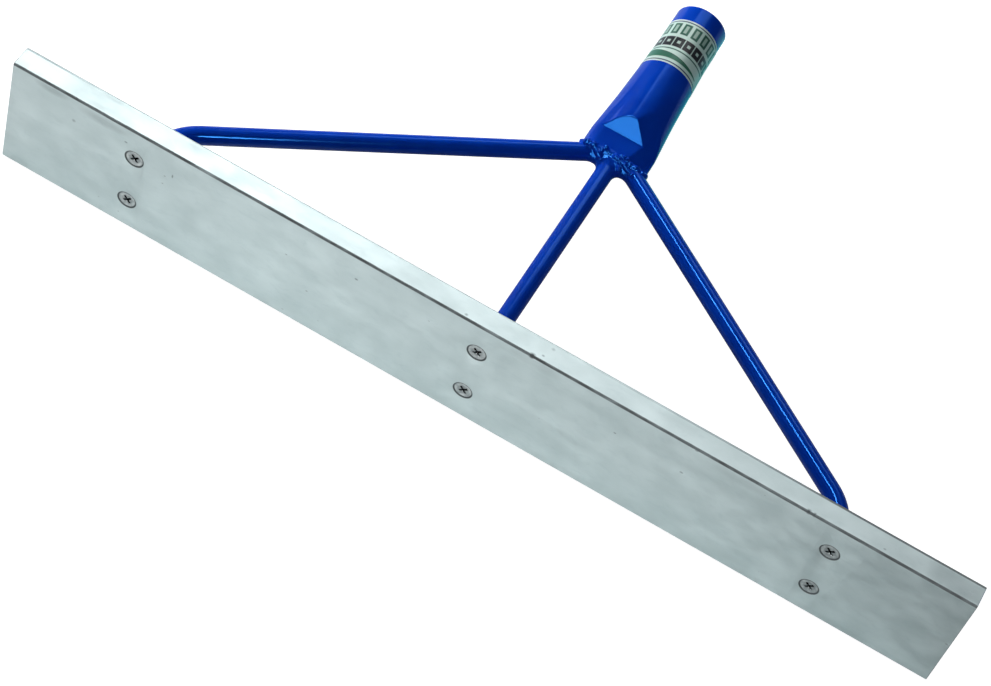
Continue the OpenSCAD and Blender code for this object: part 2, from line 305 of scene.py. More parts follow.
def gloss_enamel():
    """Gloss enamel sprayed on steel: deep even blue under a wet-looking skin, with the slight ripple
    of sprayed paint and a few rubbed places."""
    finish, node, surface = start_finish("gloss_enamel", IOR=1.5, Specular_Tint="#3A9CFF")
    place = upright(node)
    # Paint a little thicker and thinner, over 20 to 40 mm
    depth = node("TexNoise", (place, 0.035, 3.0))
    colour = tinted(node, "#033CBC", "#0443C6", depth, 0.38, 0.62)
    # Rubbed, slightly chalky places, 5 to 15 mm
    rubbed = node("TexNoise", (place, 0.11, 5.0, 0.7))
    colour = tinted(node, colour, "#2A5FC4", rubbed, 0.58, 0.78, 0.12)
    rough = node("MapRange", (rubbed, 0.3, 0.8, 0.09, 0.17))
    # Ripple of the sprayed skin, about 2.5 mm from crest to crest
    ripple = node("TexNoise", (place, 0.4, 1.5))
    bump = node("Bump", {"Height": ripple, "Strength": 0.06, "Distance": 0.06 * MM})
    plug(surface, {"Base Color": colour, "Roughness": rough, "Normal": bump})
    return finish


def zinc_plate():
    """Bright zinc plating on steel: a cool silver with faint cloudy tints from the bath."""
    finish, node, surface = start_finish("zinc_plate", Metallic=1.0)
    place = upright(node)
    clouds = node("TexNoise", (place, 0.35, 3.0))
    colour = tinted(node, "#9CA5A7", "#C2C8C8", clouds, 0.35, 0.65)
    # Painted shade in the cross recess and round the head's rim, in front only
    x, y, z = node("SeparateXYZ", (place,)).outputs
    apart = from_screws(node, x, z)
    deep = node("MapRange", (y, HEAD_SINK + 0.1, HEAD_SINK + 0.45))
    inside = node("MapRange", (apart, 4.3, 4.9, 1.0, 0.0))
    painted_screw_shade = node("Math:MULTIPLY", (deep, inside))
    rim = node("MapRange", (apart, 6.6, 7.3, 0.0, 0.75))
    painted_screw_shade = node("Math:MAXIMUM", (painted_screw_shade, rim))
    in_front = node("Math:LESS_THAN", (y, 6.0))
    painted_screw_shade = node("Math:MULTIPLY", (painted_screw_shade, in_front))
    colour = node("Mix:RGBA", (painted_screw_shade, colour, "#15191A"))
    grain = node("TexNoise", (place, 1.6, 3.0))
    rough = node("MapRange", (grain, 0.0, 1.0, 0.24, 0.42))
    bump = node("Bump", {"Height": grain, "Strength": 0.25, "Distance": 0.05 * MM})
    plug(surface, {"Base Color": colour, "Roughness": rough, "Normal": bump})
    return finish


def ring_nylon():
    """Natural nylon of a lock nut's ring: milky white, waxy and a little cloudy."""
    finish, node, surface = start_finish(
        "ring_nylon", IOR=1.53, Subsurface_Weight=0.15, Subsurface_Scale=0.001)
    clouds = node("TexNoise", (upright(node), 0.8, 3.0))
    colour = node("Mix:RGBA", (clouds, "#CFD0C8", "#E6E7E1"))
    rough = node("MapRange", (clouds, 0.0, 1.0, 0.38, 0.55))
    plug(surface, {"Base Color": colour, "Roughness": rough})
    return finish


def printed_film():
    """Vinyl film with a printed face: pale mint, with plain bars and stripes, satin under the light.
    The pattern reads the film's own map: across in millimetres round the tube, up along it."""
    finish, node, surface = start_finish("printed_film", IOR=1.46, Coat_Weight=0.25, Coat_Roughness=0.2)
    film = node("UVMap", uv_map="film_mm")
    u, v, _ = node("SeparateXYZ", (film,)).outputs

    def between(value, low, high, soft=0.25):
        """1 between two places and 0 outside them"""
        rise = node("MapRange", (value, low - soft, low + soft))
        fall = node("MapRange", (value, high - soft, high + soft, 1.0, 0.0))
        return node("Math:MULTIPLY", (rise, fall))

    # The film's ground, a little uneven
    ground = node("TexNoise", (film, 0.12, 2.0))
    colour = node("Mix:RGBA", (ground, "#C6E2D6", "#DAF0E7"))
    # Places round the film repeat every 70 mm, so that the print goes round twice
    across = node("Math:ADD", (u, 35.0))
    across = node("Math:WRAP", (across, 69.9, 0.0))
    column = node("Math:WRAP", (across, 9.0, 0.0))
    printed = between(across, 4.0, 66.5)
    bar = between(v, 18.5, 29.0)
    slope = node("Math:MULTIPLY_ADD", (across, 0.15, 5.0))
    wedge = node("Math:GREATER_THAN", (slope, v))
    # Each print is a colour and the masks that bound it: tall frames near the mouth, a bold dark
    # bar in the middle cut by narrow gaps, then a thin line and a wedge towards the struts
    prints = [
        ("#22644F", between(v, 32.5, 44.5), between(column, 1.0, 7.4), printed),
        ("#A6C4B6", between(v, 34.6, 42.6), between(column, 3.0, 5.6), printed),
        ("#0F161B", bar, printed),
        ("#BFD5CB", bar, printed, between(column, 8.1, 9.2, 0.2)),
        ("#BFD5CB", bar, printed, between(column, 2.6, 5.4), between(v, 22.4, 25.4)),
        ("#2B6A57", between(v, 15.0, 16.2), between(across, 6.0, 60.0)),
        ("#237257", wedge, between(v, 5.5, 13.5), between(across, 10.0, 64.0))]
    # Borders: a dark line beside each edge, and a pale edge
    for code, low, high in (
            ("#1B2C5C", 1.6, 2.6), ("#1B2C5C", BAND_WIDTH - 2.6, BAND_WIDTH - 1.6),
            ("#E4EEEA", -1.0, 0.9), ("#E4EEEA", BAND_WIDTH - 0.9, BAND_WIDTH + 1.0)):
        prints.append((code, between(v, low, high, 0.12)))
    for code, mask, *others in prints:
        for other in others:
            mask = node("Math:MULTIPLY", (mask, other))
        colour = node("Mix:RGBA", (mask, colour, code))
    # Small creases and bubbles under the film, 6 to 10 mm
    bubbles = node("TexNoise", {"Vector": film, "Scale": 0.16, "Detail": 2.0, "Distortion": 0.6})
    rough = node("MapRange", (bubbles, 0.0, 1.0, 0.30, 0.46))
    bump = node("Bump", {"Height": bubbles, "Strength": 0.3, "Distance": 0.15 * MM})
    plug(surface, {"Base Color": colour, "Roughness": rough, "Normal": bump})
    return finish


ALUMINIUM = mill_aluminium()
ENAMEL = gloss_enamel()
ZINC = zinc_plate()
NYLON = ring_nylon()
FILM = printed_film()


# Mesh tools

def linked(name, data):
    """A new object in the scene"""
    made = bpy.data.objects.new(name, data)
    bpy.context.scene.collection.objects.link(made)
    return made


def link_mesh(name, bm, matrix=STAND, angle=32):
    """Puts a drawing in its place, turns its faces outwards and links it as an object"""
    bmesh.ops.remove_doubles(bm, verts=bm.verts, dist=1e-4)
    bmesh.ops.recalc_face_normals(bm, faces=bm.faces)
    bm.transform(matrix)
    mesh = bpy.data.meshes.new(name)
    bm.to_mesh(mesh)
    bm.free()
    mesh.shade_smooth()
    mesh.set_sharp_from_angle(angle=radians(angle))
    return linked(name, mesh)


def remove(*things):
    for thing in things:
        mesh = thing.data
        bpy.data.objects.remove(thing)
        if mesh and mesh.users == 0:
            bpy.data.meshes.remove(mesh)


def settled(thing):
    """The object's evaluated mesh, as a plain mesh"""
    graph = bpy.context.evaluated_depsgraph_get()
    return bpy.data.meshes.new_from_object(thing.evaluated_get(graph), depsgraph=graph)


def redrawn(body, *tools):
    """The object's evaluated mesh as a drawing; the object and its tools are removed"""
    mesh = settled(body)
    result = bmesh.new()
    result.from_mesh(mesh)
    bpy.data.meshes.remove(mesh)
    remove(body, *tools)
    return result


def carve(bm, cutter):
    """Takes the cutter's solids away from a drawing"""
    body = link_mesh("carved", bm, Matrix.Identity(4))
    tool = link_mesh("cutter", cutter, Matrix.Identity(4))
    hole = body.modifiers.new("hole", "BOOLEAN")
    hole.operation = "DIFFERENCE"
    hole.solver = "MANIFOLD"
    hole.object = tool
    return redrawn(body, tool)


def evened(bm, size):
    """The drawing laid out anew in even cells, which also closes it"""
    body = link_mesh("evened", bm, Matrix.Identity(4))
    cells = body.modifiers.new("cells", "REMESH")
    cells.mode = "VOXEL"
    cells.voxel_size = size
    return redrawn(body)


def round_steps(count):
    """Angles that divide a full circle evenly"""
    return [2 * pi * k / count for k in range(count)]


def loft(rings, bm=None, closed=False):
    """Skins a row of rings of points; closed joins the last ring to the first"""
    bm = bmesh.new() if bm is None else bm
    rows = [[bm.verts.new(p) for p in ring] for ring in rings]
    for one, two in zip(rows, rows[1:] + rows[:1] if closed else rows[1:]):
        for i in range(len(one)):
            j = (i + 1) % len(one)
            bm.faces.new((one[i], one[j], two[j], two[i]))
    if not closed:
        bm.faces.new(rows[0])
        bm.faces.new(rows[-1])
    return bm


def turned(profile, steps, bm=None, wobble=None, at=(0, 0)):
    """A turned solid round +Y from (y, r) points; wobble changes a radius by its angle"""
    rings = []
    for y, r in profile:
        ring = []
        for a in round_steps(steps):
            size = r + (wobble(y, a) if wobble else 0.0)
            ring.append((at[0] + size * cos(a), y, at[1] + size * sin(a)))
        rings.append(ring)
    return loft(rings, bm)


def tube(points, radius):
    """A round bar along a flat path in the plane of the struts; radius is a number for each point"""
    rings = []
    for i, (here, r) in enumerate(zip(points, radius)):
        ahead = points[min(i + 1, len(points) - 1)] - points[max(i - 1, 0)]
        ahead.normalize()
        side = ahead.cross(Vector((0, 0, 1))).normalized()
        rings.append([here + side * (r * cos(a)) + Vector((0, 0, r * sin(a)))
                      for a in round_steps(48)])
    return loft(rings)


def finish_piece(piece, material, slot, *nodes):
    """Gives a piece its finish and its body, and hides the CAD nodes that it stands for"""
    piece.data.materials.clear()
    piece.data.materials.append(material)
    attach(piece, "root")
    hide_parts(*nodes)
    return piece


# Blade

def blade_ring(x, inset=0.0):
    """The bar's cross-section at x, with points beside each rounding that keep the flats flat"""
    low = BLADE_EDGE_R
    corners = ((low, low, 180), (BLADE_THICKNESS - low, low, 270),
               (BLADE_THICKNESS - low, BLADE_HEIGHT - low, 0), (low, BLADE_HEIGHT - low, 90))
    ring = []
    for y, z, start in corners:
        size = BLADE_EDGE_R - inset
        spots = [(0, -0.5)] + [(15 * k, 0.0) for k in range(7)] + [(90, 0.5)]
        for angle, aside in spots:
            turn = radians(start + angle)
            ring.append(Vector((x, y + size * cos(turn) - aside * sin(turn),
                                z + size * sin(turn) + aside * cos(turn))))
    return ring


def knock(bm, at, size):
    """A small hollow to take out of an edge: a ball squeezed along the blade, turned by its place"""
    bmesh.ops.create_icosphere(bm, subdivisions=3, radius=1.0, matrix=Matrix.Translation(at)
                               @ Matrix.Rotation(0.7 * at[0], 4, "X") @ Matrix.Diagonal((*size, 1)))


def blade():
    draw = random.Random(7)
    half = BLADE_LENGTH / 2 - 0.005
    stations = [half * k / 20 for k in range(-19, 20)]
    bar = loft([blade_ring(-half, 0.5), blade_ring(0.5 - half)] + [blade_ring(x) for x in stations]
               + [blade_ring(half - 0.5), blade_ring(half, 0.5)])
    wide = HEAD_R + HEAD_SINK
    gone = bmesh.new()
    for x in COLUMNS:
        for z in ROWS:
            turned([(-1, wide + 1.3), (0.0, wide + 0.25), (0.25, wide - 0.25),
                    (wide - HOLE_R, HOLE_R), (BLADE_THICKNESS + 1, HOLE_R)], 72, gone, at=(x, z))
    # Two knocks on the front top edge that the photograph shows, then small ones on all four edges
    for x, size in ((38.6, (2.4, 1.5, 1.3)), (264.6, (1.8, 1.4, 1.2)), (269.3, (1.2, 1.0, 0.9))):
        knock(gone, (x, -0.1, BLADE_HEIGHT + 0.1), size)
    edges = ((0.15, BLADE_HEIGHT - 0.15), (BLADE_THICKNESS - 0.15, BLADE_HEIGHT - 0.15),
             (0.15, 0.15), (BLADE_THICKNESS - 0.15, 0.15))
    for k in range(22):
        y, z = edges[k % 4]
        knock(gone, (-385 + 35.0 * k + draw.uniform(-12, 12), y, z),
              (draw.uniform(0.7, 1.8), draw.uniform(0.55, 0.8), draw.uniform(0.55, 0.8)))
    return finish_piece(link_mesh("rake_blade", carve(bar, gone)), ALUMINIUM, "blade_aluminium", "blade")


# Foot plates

def plate_ring(y, inset):
    r = PLATE_CORNER_R - inset
    across = PLATE_WIDTH / 2 - PLATE_CORNER_R
    up = PLATE_HEIGHT / 2 - PLATE_CORNER_R
    ring = []
    for sx, sz, start in ((1, 1, 0), (-1, 1, 90), (-1, -1, 180), (1, -1, 270)):
        for k in range(9):
            a = radians(start + 90 * k / 8)
            ring.append((sx * across + r * cos(a), y, sz * up + r * sin(a)))
    return ring


def foot_plate(name, x):
    soft = 0.7
    rings = [plate_ring(BLADE_THICKNESS, 0.25), plate_ring(BLADE_THICKNESS + 0.25, 0.0)]
    for k in range(5):
        a = radians(90 * k / 4)
        rings.append(plate_ring(PLATE_Y - soft + soft * sin(a), soft * (1 - cos(a))))
    plate = loft(rings)
    holes = bmesh.new()
    for z in (-SCREW_ROW_GAP / 2, SCREW_ROW_GAP / 2):
        turned([(BLADE_THICKNESS - 1, HOLE_R), (PLATE_Y + 1, HOLE_R)], 48, holes, at=(0, z))
    plate = carve(plate, holes)
    bmesh.ops.translate(plate, verts=plate.verts, vec=(x, 0, STRUT_Z))
    return finish_piece(link_mesh("plate_" + name, plate), ENAMEL, "blue_enamel", name + "_foot_plate")


# Struts

def side_strut(name, side):
    """Round bar with one bend near the blade; the outside of the bend is drawn a little thin"""
    points = [Vector((side * SCREW_COLUMN_X, PLATE_Y, 0)),
              Vector((side * SCREW_COLUMN_X, PLATE_Y + STUB_LENGTH * 0.5, 0))]
    radius = [STRUT_R, STRUT_R]
    centre = Vector((side * (SCREW_COLUMN_X - BEND_R), PLATE_Y + STUB_LENGTH, 0))
    steps = 22
    for k in range(steps + 1):
        a = STRUT_ANGLE * k / steps
        points.append(centre + Vector((side * cos(a), sin(a), 0)) * BEND_R)
        radius.append(STRUT_R - 0.12 * sin(pi * k / steps))
    start = points[-1].copy()
    end = Vector((0, JUNCTION_Y, 0))
    for k in range(1, 25):
        points.append(start.lerp(end, k / 24))
        radius.append(STRUT_R)
    bar = tube(points, radius)
    # The shaped end stops at the socket's pressed face and at the middle strut
    face = Vector((0, JUNCTION_Y + PRESS_END * cos(SOCKET_TILT), PRESS_END * sin(SOCKET_TILT)))
    for at, across in ((face, Vector((0, cos(SOCKET_TILT), sin(SOCKET_TILT)))),
                       (Vector((side * 1.0, 0, 0)), Vector((-side, 0, 0)))):
        whole = list(bar.verts) + list(bar.edges) + list(bar.faces)
        cut = bmesh.ops.bisect_plane(bar, geom=whole, plane_co=at, plane_no=across, clear_outer=True)
        edges = [g for g in cut["geom_cut"] if isinstance(g, bmesh.types.BMEdge)]
        if edges:
            bmesh.ops.contextual_create(bar, geom=edges)
    bmesh.ops.translate(bar, verts=bar.verts, vec=(0, 0, STRUT_Z))
    return finish_piece(link_mesh("strut_" + name, bar), ENAMEL, "blue_enamel", name + "_strut")


def middle_strut():
    end = JUNCTION_Y + MIDDLE_REACH
    points = [Vector((0, PLATE_Y + (end - PLATE_Y) * k / 40, 0)) for k in range(41)]
    bar = tube(points, [STRUT_R] * 41)
    bmesh.ops.translate(bar, verts=bar.verts, vec=(0, 0, STRUT_Z))
    return finish_piece(link_mesh("strut_middle", bar), ENAMEL, "blue_enamel", "middle_strut")


# Handle socket

def softer_min(a, b, soft):
    """The smaller of two lengths, with a rounded change from one to the other"""
    h = max(soft - abs(a - b), 0.0) / soft
    return min(a, b) - h * h * soft / 4


def stadium_reach(a, half_w, r):
    """How far a flat-sided oval of half width half_w reaches at an angle"""
    c, s = abs(cos(a)), abs(sin(a))
    run = half_w - r
    if run <= 0:
        return r
    flat = r / s if s > 1e-9 else 1e9
    if flat * c <= run:
        return flat
    return run * c + sqrt(max(r * r - (run * s) ** 2, 0.0))


# The plane that cuts the ramp's right side: its direction out of the socket, and its distance
SKEW_NORMAL = Vector((0.516, -0.174, 0.839))
SKEW_REACH = 15.6


def socket_reach(y, a, inset):
    """Distance from the socket's axis to its skin, at a place along it and an angle from the side"""
    press_w, press_h = PRESS_W - 2 * inset, PRESS_H - 2 * inset
    r = SOCKET_R - inset
    if y <= CREASE:
        full = stadium_reach(a, press_w / 2, press_h / 2)
    else:
        if y <= NEAR_END:
            t = (y - CREASE) / (NEAR_END - CREASE)
            w = press_w + (NEAR_W - 2 * inset - press_w) * t
            h = press_h / 2 + (NEAR_R - inset - press_h / 2) * t
        elif y <= FAR_END:
            t = (y - NEAR_END) / (FAR_END - NEAR_END)
            w = NEAR_W - 2 * inset + (2 * (r - FLARE_SINK) - NEAR_W + 2 * inset) * t
            h = NEAR_R - inset + (r - FLARE_SINK - NEAR_R + inset) * t
        else:
            deep = FLARE_SINK + 0.02 * (y - FAR_END)
            w, h = 2 * (r - deep), r - deep
        oval = stadium_reach(a, w / 2, h)
        # Pressing draws the widened part and the tube into each other; nearer the mouth they part
        drawn = 5.0 if y <= NEAR_END else max(0.4, 5.0 * (FAR_END - y) / FLARE_FAR)
        full = -softer_min(-oval, -r, drawn)
    flat_z = PRESS_H / 2 - inset
    flat_end = CREASE + inset * tan(RAMP_ANGLE / 2)
    slope = tan(RAMP_ANGLE)
    # The crease between the flat and the ramp has an inside radius of about a millimetre
    rise = y - flat_end
    bend = 1.2
    if rise > bend:
        ramp = flat_z + rise * slope
    elif rise < -bend:
        ramp = flat_z
    else:
        ramp = flat_z + slope * (rise + bend) ** 2 / (4 * bend)
    s = abs(sin(a))
    plane = ramp / s if s > 1e-6 else 1e9
    reach = softer_min(full, plane, 1.0)
    # The die sat a little skew, so the ramp's right side on top leans away
    facing = SKEW_NORMAL.x * cos(a) + SKEW_NORMAL.z * sin(a)
    if sin(a) > 0.1 and facing > 0.05:
        skew = (SKEW_REACH - inset - SKEW_NORMAL.y * y) / facing
        reach = softer_min(reach, skew, 0.4)
    return reach


def socket_ring(y, inset):
    ring = []
    for a in round_steps(192):
        # Points crowd a little towards the sides, where the pressed end is tightest
        a -= 0.18 * sin(2 * a)
        reach = socket_reach(y, a, inset)
        ring.append(Vector((reach * cos(a), y, reach * sin(a))))
    return ring


def handle_socket():
    stations = [PRESS_END]
    last = PRESS_END
    for end, parts in ((PRESS_END + 0.6, 1), (CREASE - 2, 8), (CREASE + 24, 52), (FAR_END, 46),
                       (MOUTH - 2, 14)):
        stations += [last + (end - last) * k / parts for k in range(1, parts + 1)]
        last = end
    outer = [socket_ring(y, 0.0) for y in stations]
    # The mouth's rim, rounded by deburring and paint
    rim = 0.9
    for k in range(1, 6):
        a = radians(90 * k / 5)
        outer.append(socket_ring(MOUTH - rim + rim * sin(a), rim * (1 - cos(a))))
    inner = [socket_ring(MOUTH, SOCKET_WALL - 0.8), socket_ring(MOUTH - 0.3, SOCKET_WALL - 0.25),
             socket_ring(MOUTH - 0.8, SOCKET_WALL)]
    seat = MOUTH - SEAT_LENGTH
    inner += [socket_ring(seat, SOCKET_WALL), socket_ring(seat - 0.5, SOCKET_WALL - SEAT_STEP)]
    inner += [socket_ring(y, SOCKET_WALL - SEAT_STEP) for y in reversed(stations)
              if CREASE + 2 < y < seat - 3]
    inner += [socket_ring(y, SOCKET_WALL) for y in reversed(stations) if y <= CREASE + 2]
    shell = loft(outer + inner, closed=True)
    hole = turned([(-SOCKET_R - 2, FIXING_HOLE_R), (-8, FIXING_HOLE_R)], 40)
    hole.transform(Matrix.Translation((0, MOUTH - FIXING_HOLE_FROM_MOUTH, 0))
                   @ Matrix.Rotation(pi / 2, 4, "X"))
    shell = carve(shell, hole)
    return finish_piece(link_mesh("socket_tube", shell, STAND @ ON_SOCKET, 40),
                        ENAMEL, "blue_enamel", "handle_socket")


def socket_band():
    """Film wrapped round the tube, with its own map in millimetres"""
    start = MOUTH - BAND_FROM_MOUTH - BAND_WIDTH
    parts, count = 36, 160
    bm = bmesh.new()
    maps = bm.loops.layers.uv.new("film_mm")
    skins = []
    for lift in (BAND_GLUE, BAND_GLUE + BAND_T):
        rows = []
        for j in range(parts + 1):
            y = start + BAND_WIDTH * j / parts
            row = []
            for turn in round_steps(count):
                a = turn - pi / 2
                reach = socket_reach(y, a, 0.0) + lift
                row.append(bm.verts.new((reach * cos(a), y, reach * sin(a))))
            rows.append(row)
        skins.append(rows)
    girth = 2 * pi * SOCKET_R

    def face(*corners):
        """A face from (skin, row, column) corners; the map runs on where the rows close"""
        made = bm.faces.new([skins[s][j][i % count] for s, j, i in corners])
        for loop, (_, j, i) in zip(made.loops, corners):
            loop[maps].uv = (girth * i / count, BAND_WIDTH * j / parts)

    for s in (0, 1):
        for j in range(parts):
            for i in range(count):
                face((s, j, i), (s, j, i + 1), (s, j + 1, i + 1), (s, j + 1, i))
    for j in (0, parts):
        for i in range(count):
            face((0, j, i), (0, j, i + 1), (1, j, i + 1), (1, j, i))
    return finish_piece(link_mesh("socket_film", bm, STAND @ ON_SOCKET, 50),
                        FILM, "sticker_film", "socket_band")


# Welds

def skin_of(field, low, high, step):
    """A closed mesh of the surface where a field of distances is zero, from a grid of cells"""
    axes = [np.arange(a, b + step, step) for a, b in zip(low, high)]
    grid = np.stack(np.meshgrid(*axes, indexing="ij"), axis=-1)
    value = field(grid)
    inside = value < 0
    cells = tuple(n - 1 for n in value.shape)
    total = np.zeros(cells + (3,))
    count = np.zeros(cells)
    crossings = []
    for axis in range(3):
        one = [slice(None)] * 3
        two = [slice(None)] * 3
        one[axis], two[axis] = slice(0, -1), slice(1, None)
        a, b = value[tuple(one)], value[tuple(two)]
        crossed = inside[tuple(one)] != inside[tuple(two)]
        places = np.argwhere(crossed)
        share = (a / np.where(a == b, 1, a - b))[crossed]
        points = places.astype(float)
        points[:, axis] += share
        crossings.append((axis, places, inside[tuple(one)][crossed]))
        others = [k for k in range(3) if k != axis]
        for da in (0, -1):
            for db in (0, -1):
                cell = places.copy()
                cell[:, others[0]] += da
                cell[:, others[1]] += db
                fits = np.all((cell >= 0) & (cell < np.array(cells)), axis=1)
                index = tuple(cell[fits].T)
                np.add.at(total, index, points[fits])
                np.add.at(count, index, 1)
    live = count > 0
    number = -np.ones(cells, int)
    number[live] = np.arange(live.sum())
    spots = total[live] / count[live][:, None] * step + np.array(low)
    bm = bmesh.new()
    verts = [bm.verts.new(p) for p in spots]
    for axis, places, first_inside in crossings:
        u, w = [(1, 2), (2, 0), (0, 1)][axis]
        for place, filled in zip(places, first_inside):
            ring = []
            for du, dw in ((0, 0), (-1, 0), (-1, -1), (0, -1)):
                cell = list(place)
                cell[u] += du
                cell[w] += dw
                if min(cell) < 0 or any(c >= n for c, n in zip(cell, cells)):
                    break
                ring.append(verts[number[tuple(cell)]])
            if len(ring) == 4:
                bm.faces.new(ring if filled else ring[::-1])
    return bm


def melt(a, b, soft):
    """Two shapes flowed together"""
    h = np.maximum(soft - np.abs(a - b), 0) / soft
    return np.minimum(a, b) - h * h * soft / 4


def bar_distance(p, start, end, r):
    start, end = np.array(start), np.array(end)
    line = end - start
    t = np.clip(((p - start) @ line) / (line @ line), 0, 1)
    return np.linalg.norm(p - start - t[..., None] * line, axis=-1) - r


def weld_lumps():
    """Beads round the pressed end as (x, along, up, radius) in the socket's own place"""
    draw = random.Random(11)
    lumps = []
    half_w = PRESS_W / 2 - 2.4
    r = PRESS_H / 2 - 2.2
    run = half_w - r
    # The bead goes round the pressed end's rim, in short steps like a hand-held torch
    length = 4 * run + 2 * pi * r
    count = int(length / 2.1)
    for i in range(count):
        s = length * i / count
        if s < 2 * run:
            x, up = -run + s, r
        elif s < 2 * run + pi * r:
            a = (s - 2 * run) / r
            x, up = run + r * sin(a), r * cos(a)
        elif s < 4 * run + pi * r:
            x, up = run - (s - 2 * run - pi * r), -r
        else:
            a = (s - 4 * run - pi * r) / r
            x, up = -run - r * sin(a), -r * cos(a)
        lumps.append((x + draw.uniform(-0.4, 0.4), PRESS_END - 1.0 + draw.uniform(-0.9, 0.3),
                      up + draw.uniform(-0.3, 0.2), draw.uniform(1.7, 2.4)))
    # Bigger runs of weld on top, where each side strut meets the flat
    for start, end, size, steps in (
            ((-24, -11.8, 9.6), (-18.5, -11.4, 10.2), 3.0, 3),
            ((-17.5, -11.5, 10.0), (-10.0, -16.8, 8.2), 2.4, 5),
            ((-9.5, -8.0, 11.4), (-8.5, -8.8, 11.2), 2.1, 2),
            ((-12.6, -10.8, 10.4), (-11.0, -11.6, 10.0), 1.9, 2),
            ((2.0, -11.8, 10.2), (7.2, -12.8, 9.6), 2.2, 3), ((9.0, -13.4, 9.2), (19, -17.4, 8.0), 1.9, 6),
            ((5.0, -8.4, 11.6), (10.5, -9.0, 11.4), 1.6, 3), ((5.2, -15.8, 8.4), (9.2, -19.8, 7.6), 1.9, 3),
            ((-31, -10, 2.5), (-26, -10.5, 6.5), 2.2, 4), ((26, -10.5, 6.5), (31, -10, 2.0), 2.2, 4)):
        for k in range(steps):
            t = k / (steps - 1)
            spot = [a + (b - a) * t + draw.uniform(-0.35, 0.35) for a, b in zip(start, end)]
            lumps.append((*spot, size * draw.uniform(0.85, 1.12)))
    return lumps


def socket_weld():
    """Weld metal that joins the three struts and the pressed tube, grown from their distances"""
    tilt = Matrix.Rotation(-SOCKET_TILT, 3, "X")
    foot = [Vector((side * sin(STRUT_ANGLE), -cos(STRUT_ANGLE), 0)) for side in (-1, 1)]
    struts = [tilt @ (d * 60) for d in foot] + [tilt @ Vector((0, -60, 0))]
    lumps = weld_lumps()
    ripple = random.Random(5)
    phases = [(ripple.uniform(0.6, 1.3), ripple.uniform(0.6, 1.3), ripple.uniform(0.6, 1.3),
               ripple.uniform(0, 6.28)) for _ in range(6)]

    def field(p):
        legs = [bar_distance(p, (0, 0, 0), tuple(end), STRUT_R) for end in struts]
        web = melt(melt(legs[0], legs[2], 15.0), melt(legs[1], legs[2], 15.0), 1.0) + 0.35
        # A slab of weld metal on the pressed face
        run = PRESS_W / 2 - PRESS_H / 2
        oval = np.hypot(np.maximum(np.abs(p[..., 0]) - run, 0), p[..., 2]) - (PRESS_H / 2 - 1.4)
        slab = np.maximum(oval, np.maximum(p[..., 1] - (PRESS_END + 0.5), (PRESS_END - 2.2) - p[..., 1]))
        shape = melt(web, slab, 2.5)
        beads = None
        for x, y, z, r in lumps:
            ball = np.linalg.norm(p - np.array((x, y, z)), axis=-1) - r
            beads = ball if beads is None else melt(beads, ball, 0.7)
        shape = melt(shape, beads, 0.9)
        for fx, fy, fz, phase in phases:
            shape = shape + 0.035 * np.sin(fx * p[..., 0] * 2 + phase) * np.sin(fy * p[..., 1] * 2) * np.sin(
                fz * p[..., 2] * 2 + 1)
        reach = np.linalg.norm(p[..., :2] - np.array((0, -4.0)), axis=-1) - 31.0
        return np.maximum(shape, np.maximum(reach, p[..., 1] - (PRESS_END + 1.6)))

    bead = skin_of(field, (-37.31, -37.27, -15.36), (37.3, 2.2, 15.9), 0.58)
    bead = evened(bead, 0.45)
    bmesh.ops.smooth_vert(bead, verts=bead.verts, factor=0.5,
                          use_axis_x=True, use_axis_y=True, use_axis_z=True)
    return finish_piece(link_mesh("weld_socket", bead, STAND @ ON_SOCKET, 180), ENAMEL, "blue_enamel",
                        "left_socket_weld", "middle_socket_weld", "right_socket_weld")


def foot_weld(name, x, seed):
    """Ring of weld at a strut's foot, laid in overlapping steps"""
    draw = random.Random(seed)
    phase, uneven = draw.uniform(0, 6), draw.uniform(0, 6)

    def wobble(y, a):
        rise = sin(pi * min(max((y - PLATE_Y) / FOOT_WELD_LEG, 0), 1))
        return rise * (0.22 * abs(sin(9 * a + phase)) + 0.3 * sin(2 * a + uneven)) - 0.1

    profile = [(PLATE_Y - 0.1, STRUT_R - 1.0)]
    for k in range(13):
        a = radians(90 * k / 12)
        profile.append((PLATE_Y + FOOT_WELD_LEG * sin(a) ** 0.9,
                        STRUT_R + FOOT_WELD_LEG * (1 - 0.25) * cos(a) ** 1.1 + 0.1))
    profile.append((PLATE_Y + FOOT_WELD_LEG - 0.2, STRUT_R - 1.0))
    ring = turned(profile, 120, wobble=wobble)
    bmesh.ops.translate(ring, verts=ring.verts, vec=(x, 0, STRUT_Z))
    return finish_piece(link_mesh("weld_" + name, ring, STAND, 60),
                        ENAMEL, "blue_enamel", name + "_foot_weld")


# Fasteners

def cross_cutter():
    """The cross recess: arms at 45 degrees that narrow and run in towards a blunt point"""
    rings = []
    for y, half, arm in ((-1.0, RECESS_R + 0.8, RECESS_ARM / 2 + 0.75),
                         (0.0, RECESS_R + 0.35, RECESS_ARM / 2 + 0.3),
                         (0.4, RECESS_R - 0.1, RECESS_ARM / 2), (RECESS_DEPTH, 1.7, 0.5)):
        ring = []
        for quarter in range(4):
            a = radians(45 + 90 * quarter)
            ahead = Vector((cos(a), 0, sin(a)))
            side = Vector((-sin(a), 0, cos(a)))
            inner = arm * 1.25
            for along, across in ((inner, -arm), (half - 0.3, -arm), (half, -arm * 0.55),
                                  (half, arm * 0.55), (half - 0.3, arm), (inner, arm)):
                ring.append(ahead * along + side * across + Vector((0, y + HEAD_SINK, 0)))
        rings.append(ring)
    return loft(rings)


